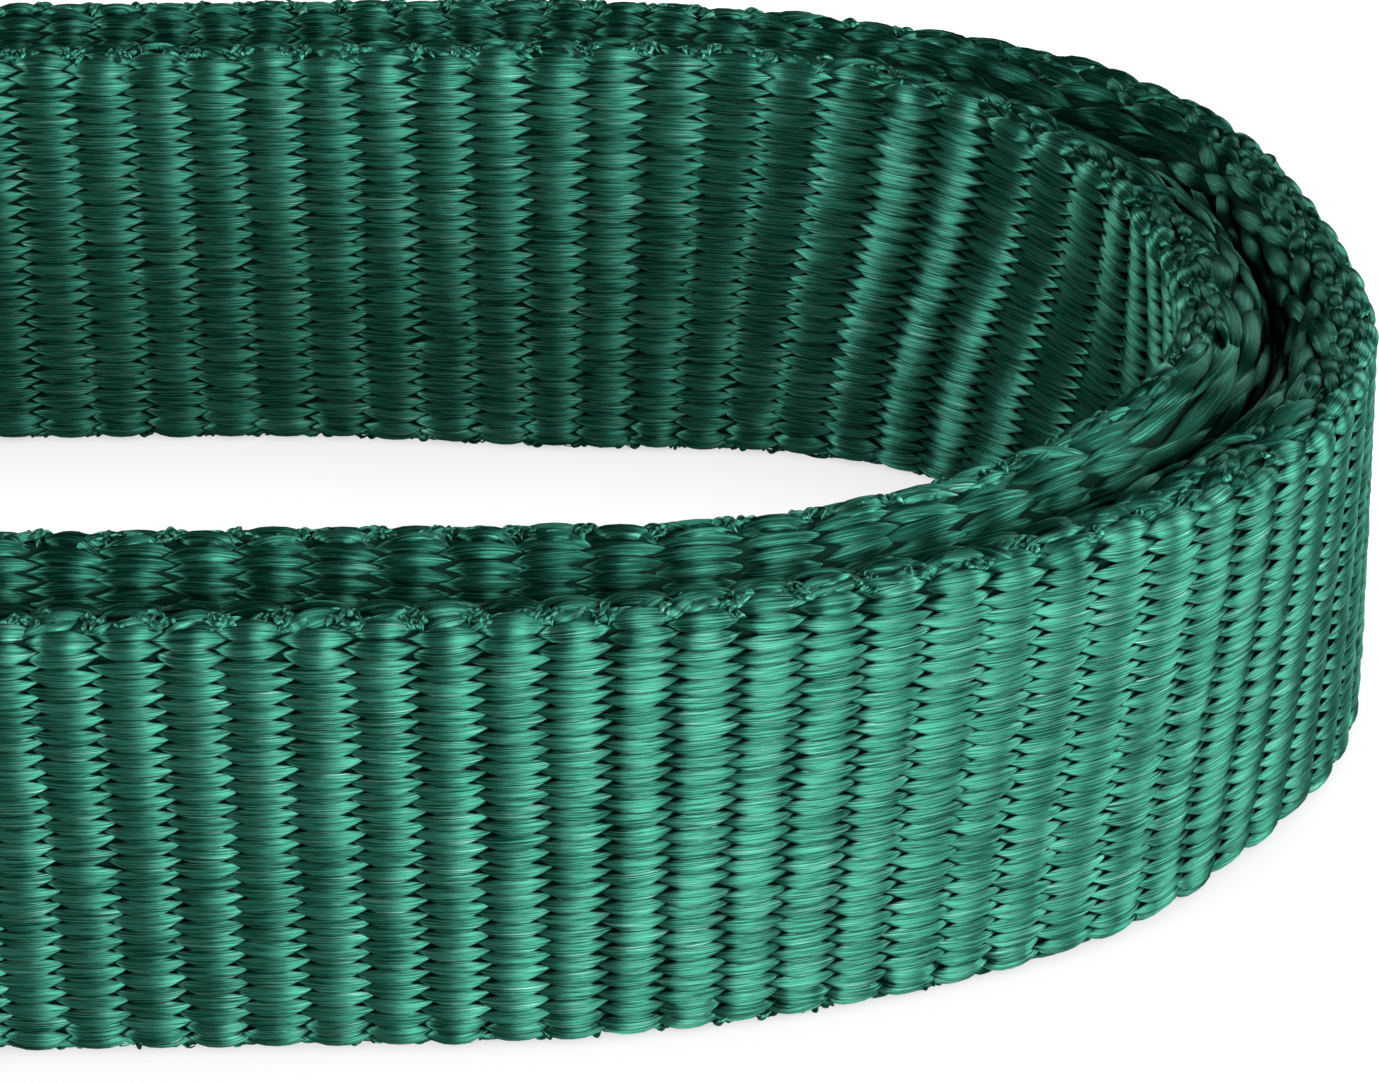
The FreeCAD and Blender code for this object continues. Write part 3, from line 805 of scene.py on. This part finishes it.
def strand(name, dark, pale):
    """Bundles of filament for the CAD pieces that run along the loop, whose coordinates are in metres."""
    along, across = 70.0, 2600.0
    material, tree, shader = new_material(name)
    where = node(tree, "ShaderNodeTexCoord").outputs["Object"]
    fine = stretched_noise(tree, where, (along, across, across), 3.0, 0.7)
    broad = stretched_noise(tree, where, (along / 3, across / 5, across / 5), 2.0)
    level = maths(tree, "MULTIPLY_ADD", centred(tree, fine), 2.5, broad, clamp=True)
    settle(
        shader,
        Base_Color=mixed(tree, level, dark, pale),
        Roughness=maths(tree, "MULTIPLY_ADD", broad, 0.2, 0.42),
        Sheen_Weight=0.3,
        Normal=relief(tree, fine, 0.6),
    )
    return material


def woven_tape(name, dark, pale):
    """Thin plain-woven tape for the CAD ties."""
    two_threads = 0.6 * MM
    material, tree, shader = new_material(name)
    where = node(tree, "ShaderNodeTexCoord").outputs["Object"]
    turns = [maths(tree, "MULTIPLY", axis, TAU / two_threads) for axis in parts(tree, where)]
    ribs = [maths(tree, "SINE", turn) for turn in turns]
    weave = maths(tree, "MULTIPLY", ribs[0], maths(tree, "ADD", ribs[1], ribs[2]))
    cloud = stretched_noise(tree, where, (300.0, 300.0, 300.0))
    level = maths(tree, "MULTIPLY_ADD", weave, 0.2, cloud, clamp=True)
    settle(
        shader,
        Base_Color=mixed(tree, level, dark, pale),
        Roughness=maths(tree, "MULTIPLY_ADD", cloud, 0.2, 0.6),
        Normal=relief(tree, weave, 0.5),
    )
    return material


cover_yarn = silk("cover_yarn", (0.001, 0.045, 0.028), (0.046, 0.27, 0.185), (0.27, 0.52, 0.44))
# painted shade: near-black ground for the cover and the sleeve
painted_shade_ground = ground_cloth("painted_shade_ground", (0.0003, 0.008, 0.005), (0.0008, 0.022, 0.014))
sleeve_yarn = silk("sleeve_yarn", (0.001, 0.045, 0.028), (0.04, 0.25, 0.17), (0.22, 0.48, 0.40), grain=1.3)
thread = silk("thread", (0.004, 0.08, 0.05), (0.07, 0.38, 0.27), (0.32, 0.66, 0.55), 0.45, 1.8)
label_cloth = coated_cloth("label_cloth", (0.008, 0.045, 0.17), (0.02, 0.10, 0.33), (0.22, 0.34, 0.52))


# ---- the cover

LENGTHS = 10  # pieces that a wall is shown in
OUTER_LEAN = (  # distances from the middle of a leg, and how far the ribs lean there
    [140.0, 165.0, 185.0, 205.0, 225.0, 245.0, 262.0, 278.0],
    [0.0, 0.03, 0.09, 0.13, 0.12, 0.07, 0.02, 0.0],
)
INNER_LEAN = (
    [150.0, 170.0, 182.0, 198.0, 214.0, 228.0, 240.0, 250.0],
    [0.01, 0.06, 0.11, 0.18, 0.26, 0.28, 0.16, 0.0],
)


def build_wall(wall, stands_for):
    rows = wall_floats(wall)
    rows = rows[~sleeve_covers(wall, rows)]
    rib_of = np.floor(rows[:, 0] / wall.pitch).astype(int)
    cuts = np.linspace(0, wall.ribs, LENGTHS + 1).astype(int)
    for number, (first, last) in enumerate(zip(cuts[:-1], cuts[1:]), start=1):
        chosen = ((rib_of - first) % wall.ribs) < (last - first)
        batch = Batch()
        add_floats(batch, wall, rows[chosen], 0)
        add_ground(batch, wall, first, last, 1)
        piece = batch.build(f"{wall.name}_{number}", [cover_yarn, painted_shade_ground])
        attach(piece, "sling")
        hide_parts(stands_for)


outer_wall = Wall("outer_wall", outside, side=1.0, ribs=192, lean=OUTER_LEAN, proud=0.8, sink=1.3)
inner_wall = Wall("inner_wall", seat, side=-1.0, ribs=156, lean=INNER_LEAN)
build_wall(outer_wall, "cover_outer_wall")
build_wall(inner_wall, "cover_inner_wall")


# ---- the sleeve

SLEEVE_PITCH = 2.5  # from rib to rib along the sling, and from float to float round the section
SLEEVE_ROW = 1.1
SLEEVE_CORNER = 2.0
SLEEVE_GROUND = 0.45  # depths of the dark body behind the floats
SLEEVE_LINING = 1.1
SLEEVE_INSET = 0.3  # how far that body stays in from the sleeve's ends
RIM_ROW = 1.5  # from float to float of the two lines of yarn along each end
RIM_STEP = 0.5


class Band:
    """The sleeve's section: a rounded rectangle, measured round from the front face's mid height."""

    def __init__(self, low, high, corner):
        self.corner = corner
        self.middle = (low[1:] + high[1:]) / 2
        flat_y, flat_z = (high[1:] - low[1:]) / 2 - corner
        arc = corner * math.pi / 2
        steps = [flat_z, arc, 2 * flat_y, arc, 2 * flat_z, arc, 2 * flat_y, arc, flat_z]
        self.knots = np.concatenate([[0.0], np.cumsum(steps)])
        self.girth = self.knots[-1]
        self.angles = np.array([0, 0, 1, 1, 2, 2, 3, 3, 4, 4]) * math.pi / 2
        self.core_y = np.array([-1, -1, -1, 1, 1, 1, 1, -1, -1, -1]) * flat_y
        self.core_z = np.array([0, 1, 1, 1, 1, -1, -1, -1, -1, 0]) * flat_z

    def place(self, x, round_section, lift):
        along = np.mod(round_section, self.girth)
        angle = np.interp(along, self.knots, self.angles)
        reach = self.corner + lift
        y = self.middle[0] + np.interp(along, self.knots, self.core_y) - reach * np.cos(angle)
        z = self.middle[1] + np.interp(along, self.knots, self.core_z) + reach * np.sin(angle)
        return np.stack(np.broadcast_arrays(x, y, z), -1)


def sleeve_floats(band):
    found = Floats()
    ribs = int(round((SLEEVE_HIGH[0] - SLEEVE_LOW[0]) / SLEEVE_PITCH))
    count = int(band.girth / SLEEVE_ROW)
    row = band.girth / count
    for rib in range(ribs):
        centre = SLEEVE_LOW[0] + (rib + 0.5) * SLEEVE_PITCH
        u = (np.arange(count) + 0.5 * (rib % 2)) * row
        found.add(
            s=centre + 0.08 * np.sin(u * 0.13 + rib) + vary(0.03, count),
            u=u,
            length=SLEEVE_PITCH * 0.62 * (1 + vary(0.02, count)),
            width=row * 0.58 * (1 + vary(0.03, count)),
            yaw=vary(0.02, count),
            peak=0.02 + vary(0.02, count),
            tip=-0.42, round_off=0.22, taper=0.32,
        )
    rim = int(band.girth / RIM_ROW)
    for end, inward in ((SLEEVE_LOW[0], 1), (SLEEVE_HIGH[0], -1)):
        for line in range(2):
            found.add(
                s=end + inward * (0.35 + RIM_STEP * line),
                u=(np.arange(rim) + 0.5 * line) * band.girth / rim,
                length=1.15, width=0.42,
                yaw=math.pi / 2 + vary(0.05, rim),
                peak=0.02 - 0.25 * (1 - line),
                tip=-0.6, round_off=0.25,
            )
    return found.arrays()


def add_lining(batch, band, material):
    """The closed body behind the sleeve's floats."""
    left, right = SLEEVE_LOW[0] + SLEEVE_INSET, SLEEVE_HIGH[0] - SLEEVE_INSET
    ends = np.array([left, right, right, left])
    depths = -np.array([SLEEVE_GROUND, SLEEVE_GROUND, SLEEVE_LINING, SLEEVE_LINING])
    stations = np.concatenate([np.linspace(a, b, 6)[:-1] for a, b in zip(band.knots[:-1], band.knots[1:])])
    x, u, depth = np.broadcast_arrays(ends[:, None], stations[None], depths[:, None])
    points = band.place(x, u, depth).reshape(-1, 3)
    faces = grid_faces(1, len(ends), len(stations), closed=True, looped=True)
    fibre = np.stack([x, u], -1).reshape(-1, 2)
    batch.add(points, faces, material, fibre, np.full(len(points), 0.5), np.zeros(len(points)))


def build_sleeve():
    band = Band(SLEEVE_LOW, SLEEVE_HIGH, SLEEVE_CORNER)
    batch = Batch()
    add_floats(batch, band, sleeve_floats(band), 0, COARSE_RINGS, COARSE_ACROSS)
    add_lining(batch, band, 1)
    piece = batch.build("sleeve", [sleeve_yarn, painted_shade_ground])
    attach(piece, "sling")
    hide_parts("closing_sleeve")


# ---- stitches

STITCH_LENGTH = 2.2
STITCH_REACH = STITCH_LENGTH / 2 * 1.12  # half of its length with the ends that dive into the cloth
STITCH_PROUD = 0.4
STITCH_RADIUS = 0.34
STITCH_ROUND = 10  # points round a stitch
STITCH_DIVE = 0.45  # how far its ends go down
PLIES = 2
PLY_DEPTH = 0.16  # of the groove between the plies, as a share of the radius, and their twist
PLY_TWIST = 2.4
ROW_PITCH = 4.0  # between the two rows of a pair


def stitch_grid(centres, facing):
    """Two-ply stitches that rise out of the cloth and dive back into it, on faces towards -Y or +Y."""
    t = np.linspace(-1, 1, 13)[None, :, None]
    turn = np.linspace(0, TAU, STITCH_ROUND, endpoint=False)[None, None, :]
    count = len(centres)
    phase = rng.random(count)[:, None, None] * TAU
    tilt = vary(0.06, count)[:, None, None]
    body = STITCH_RADIUS * np.sqrt(np.clip(1 - np.abs(t) ** 6, 0, 1))
    radius = body * (1 + PLY_DEPTH * np.cos(PLIES * (turn - t * PLY_TWIST) + phase))
    out = STITCH_PROUD - STITCH_RADIUS - STITCH_DIVE * np.abs(t) ** 3 + radius * np.sin(turn)
    x = centres[:, 0, None, None] + radius * np.cos(turn) + tilt * t
    y = centres[:, 1, None, None] + facing[:, None, None] * out
    z = centres[:, 2, None, None] + t * STITCH_REACH
    points = np.stack(np.broadcast_arrays(x, y, z), -1)
    fibre_along = t * STITCH_REACH + phase * 5 + turn * 0.3
    fibre = np.stack(np.broadcast_arrays(fibre_along, turn * STITCH_RADIUS), -1)
    return points, fibre


def build_stitches(name, node_name, rows, count):
    """rows are places along X, depths in Y and the way that the face looks."""
    low, high = box_mm(node_name)
    heights = np.linspace(low[2] + STITCH_LENGTH / 2, high[2] - STITCH_LENGTH / 2, count)
    centres = np.array([(x, y, z) for x, y, _ in rows for z in heights])
    facing = np.array([way for _, _, way in rows for _ in heights], float)
    points, fibre = stitch_grid(centres, facing)
    total, rings, across = points.shape[:3]
    faces = grid_faces(total, rings, across, closed=True)
    points = points.reshape(-1, 3)
    tint = np.repeat(rng.random(total), rings * across)
    edge = np.zeros(len(points))
    piece = new_mesh(name, points, faces, [thread], fibre=fibre.reshape(-1, 2), tint=tint, edge=edge)
    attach(piece, "sling")
    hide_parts(node_name)


def row_pair(x, step, depth, way):
    return [(x, depth, way), (x + step * ROW_PITCH, depth, way)]


def build_all_stitches():
    low, high = box_mm("sleeve_stitches")
    front, back = low[1] + STITCH_PROUD, high[1] - STITCH_PROUD
    first, last = low[0] + STITCH_PROUD, high[0] - STITCH_PROUD
    rows = row_pair(last, -1, front, -1) + row_pair(last, -1, back, 1) + row_pair(first, 1, back, 1)
    build_stitches("sleeve_seams", "sleeve_stitches", rows, 13)
    low, high = box_mm("label_stitches")
    rows = row_pair(low[0] + STITCH_PROUD, 1, low[1] + STITCH_PROUD, -1)
    build_stitches("label_seams", "label_stitches", rows, 11)


# ---- the label

LABEL_CORNER = 3.0
LABEL_CURL = 1.6  # how far the free end stands out, and by what share more at its top
LABEL_TWIST = 0.25
LABEL_RIPPLE = 0.12
FOLD_ROOM = 1.6  # stretch on each side of the fold's axis that bends
RIM_FROM = 0.985  # share of the half height past which the label gets thinner, and by how much
RIM_THINNING = 0.6
BACK_SHIFT = 90.0  # keeps the frame off the back


def label_stations(start, end, fold_start, fold_end):
    """Places along the label, from its sewn end to its free one, closer at the corners and the fold."""
    turns = np.linspace(0, math.pi / 2, 6)
    return np.concatenate([
        start - LABEL_CORNER * (1 - np.cos(turns))[:-1],
        np.linspace(start - LABEL_CORNER, fold_start, 14)[:-1],
        np.linspace(fold_start, fold_end, 15)[:-1],
        np.linspace(fold_end, end + LABEL_CORNER, 60)[:-1],
        end + LABEL_CORNER * (1 - np.sin(turns)),
    ])


def rim_faces(rows, columns):
    """Faces that join the rims of two grids of rows x columns points."""
    border = np.concatenate([
        np.arange(columns),
        np.arange(1, rows) * columns + columns - 1,
        (rows - 1) * columns + np.arange(columns - 2, -1, -1),
        np.arange(rows - 2, 0, -1) * columns,
    ])
    after = np.roll(border, -1)
    return np.stack([border, border + rows * columns, after + rows * columns, after], -1)


def build_label():
    """One strip of coated cloth: its tab is sewn to the sleeve and its flap folds."""
    tab_low, tab_high = box_mm("label_tab")
    flap_low, flap_high = box_mm("label_flap")
    _, thick, width = flap_high - flap_low
    _, middle_y, middle_z = (flap_high + flap_low) / 2
    half = width / 2
    start, end = tab_high[0], flap_low[0]
    axis_x = (tab_low[0] + flap_high[0]) / 2
    fold_start, fold_end = axis_x + FOLD_ROOM, axis_x - FOLD_ROOM
    x = label_stations(start, end, fold_start, fold_end)
    across = np.linspace(-1, 1, 33)
    inset = np.maximum(LABEL_CORNER - np.minimum(start - x, x - end), 0) / LABEL_CORNER
    half_here = half - LABEL_CORNER * (1 - np.sqrt(np.clip(1 - inset ** 2, 0, 1)))
    xx = np.broadcast_to(x[:, None], (len(x), len(across)))
    zz = half_here[:, None] * across[None]
    free = np.clip((fold_end - xx) / (fold_end - end), 0, 1)
    curl = LABEL_CURL * free ** 2 * (1 + LABEL_TWIST * zz / half)
    ripple = LABEL_RIPPLE * free * (1 - np.cos(xx * 0.19 + zz * 0.05))
    past_rim = np.clip((np.abs(across)[None] - RIM_FROM) / (1 - RIM_FROM), 0, 1)
    rounded = thick / 2 * (1 - RIM_THINNING * past_rim)
    points = np.concatenate([
        np.stack([xx, middle_y - (curl + ripple) + way * rounded, middle_z + zz], -1).reshape(-1, 3)
        for way in (-1, 1)
    ])
    rows, columns = xx.shape
    near = grid_faces(1, rows, columns)
    far = near[:, ::-1] + rows * columns
    faces = np.concatenate([near, far, rim_faces(rows, columns)])
    fibre = np.stack([xx, zz], -1).reshape(-1, 2)
    fibre = np.concatenate([fibre, fibre + np.array([0.0, BACK_SHIFT])])
    worn = np.maximum(np.abs(zz) / half, inset[:, None]).ravel()
    piece = new_mesh("label", points, faces, [label_cloth], fibre=fibre, edge=np.tile(worn, 2))
    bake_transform(piece)
    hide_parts("label_tab", "label_flap")


# ---- core, tapes and edge threads

def dress_cad_nodes():
    """Gives the CAD pieces that stay in view a material of their own."""
    looks = {
        "core_turn": strand("core_filament", (0.42, 0.40, 0.34), (0.86, 0.84, 0.78)),
        "core_tie": woven_tape("tie_weave", (0.40, 0.38, 0.32), (0.80, 0.78, 0.70)),
        "edge_seam": strand("edge_filament", (0.001, 0.04, 0.025), (0.03, 0.26, 0.18)),
    }
    for name, thing in frame["nodes"].items():
        for start, material in looks.items():
            if name.startswith(start):
                thing.data.materials.clear()
                thing.data.materials.append(material)


build_sleeve()
build_all_stitches()
build_label()
dress_cad_nodes()


# ---- stage, camera, light

FLOOR_HALF = 3000.0
FLOOR_TOP = -0.1
FLOOR_GLOW = 0.60  # the floor's own light under the sling, and what the open floor adds to it
FLOOR_OPEN = 0.41
SHADE_REACH = 0.025
SOFTBOXES = (  # name, place, what it aims at, width and height in metres, power in watts
    ("key", (0.60, -0.94, 0.20), (0.15, -0.02, 0.03), (0.85, 0.32), 13.0),
    ("right", (1.15, -0.20, 0.35), (0.2, 0.0, 0.02), (0.6, 0.5), 12.5),
    ("left", (-0.85, -0.62, 0.45), (0.15, 0.0, 0.02), (0.35, 0.5), 9.0),
    ("fill", (0.39, -0.63, 0.50), (0.03, 0.05, 0.03), (0.3, 0.3), 2.9),
    ("back_right", (0.85, 0.85, 0.55), (0.15, 0.0, 0.02), (0.5, 0.5), 5.0),
    ("back_left", (-0.75, 0.9, 0.55), (0.0, 0.0, 0.02), (0.5, 0.5), 7.5),
)


def build_stage():
    corners = [(x * FLOOR_HALF, y * FLOOR_HALF, FLOOR_TOP) for x, y in ((-1, -1), (1, -1), (1, 1), (-1, 1))]
    paper, tree, shader = new_material("floor_paper")
    shade = node(tree, "ShaderNodeAmbientOcclusion", samples=8)
    settle(shade, Distance=SHADE_REACH)
    settle(
        shader,
        Base_Color=(0.12, 0.12, 0.12),
        Roughness=0.9,
        Emission_Color=(1.0, 1.0, 1.0),
        Emission_Strength=maths(tree, "MULTIPLY_ADD", shade.outputs["AO"], FLOOR_OPEN, FLOOR_GLOW),
    )
    floor = new_mesh("floor", corners, [(0, 1, 2, 3)], [paper])
    floor.visible_glossy = False


def build_camera():
    data = bpy.data.cameras.new("camera")
    data.sensor_width = 36.0
    data.lens = 117.5
    data.clip_start = 0.02
    data.clip_end = 30.0
    camera = bpy.data.objects.new("camera", data)
    camera.location = (0.1628, -0.4103, 0.2724)
    camera.rotation_euler = (math.radians(58.0), math.radians(0.1), math.radians(-1.3))
    bpy.context.scene.collection.objects.link(camera)
    bpy.context.scene.camera = camera


def softbox(name, place, aim, size, power):
    data = bpy.data.lights.new(name, "AREA")
    data.shape = "RECTANGLE"
    data.size, data.size_y = size
    data.energy = power
    light = bpy.data.objects.new(name, data)
    light.location = place
    light.rotation_euler = (Vector(aim) - Vector(place)).to_track_quat("-Z", "Y").to_euler()
    bpy.context.scene.collection.objects.link(light)


def build_light():
    for box in SOFTBOXES:
        softbox(*box)
    world = bpy.data.worlds.new("studio")
    world.use_nodes = True
    settle(world.node_tree.nodes["Background"], Color=(0.9, 0.95, 1.0), Strength=0.05)
    bpy.context.scene.world = world
    bpy.context.scene.view_settings.view_transform = "Standard"


build_stage()
build_camera()
build_light()
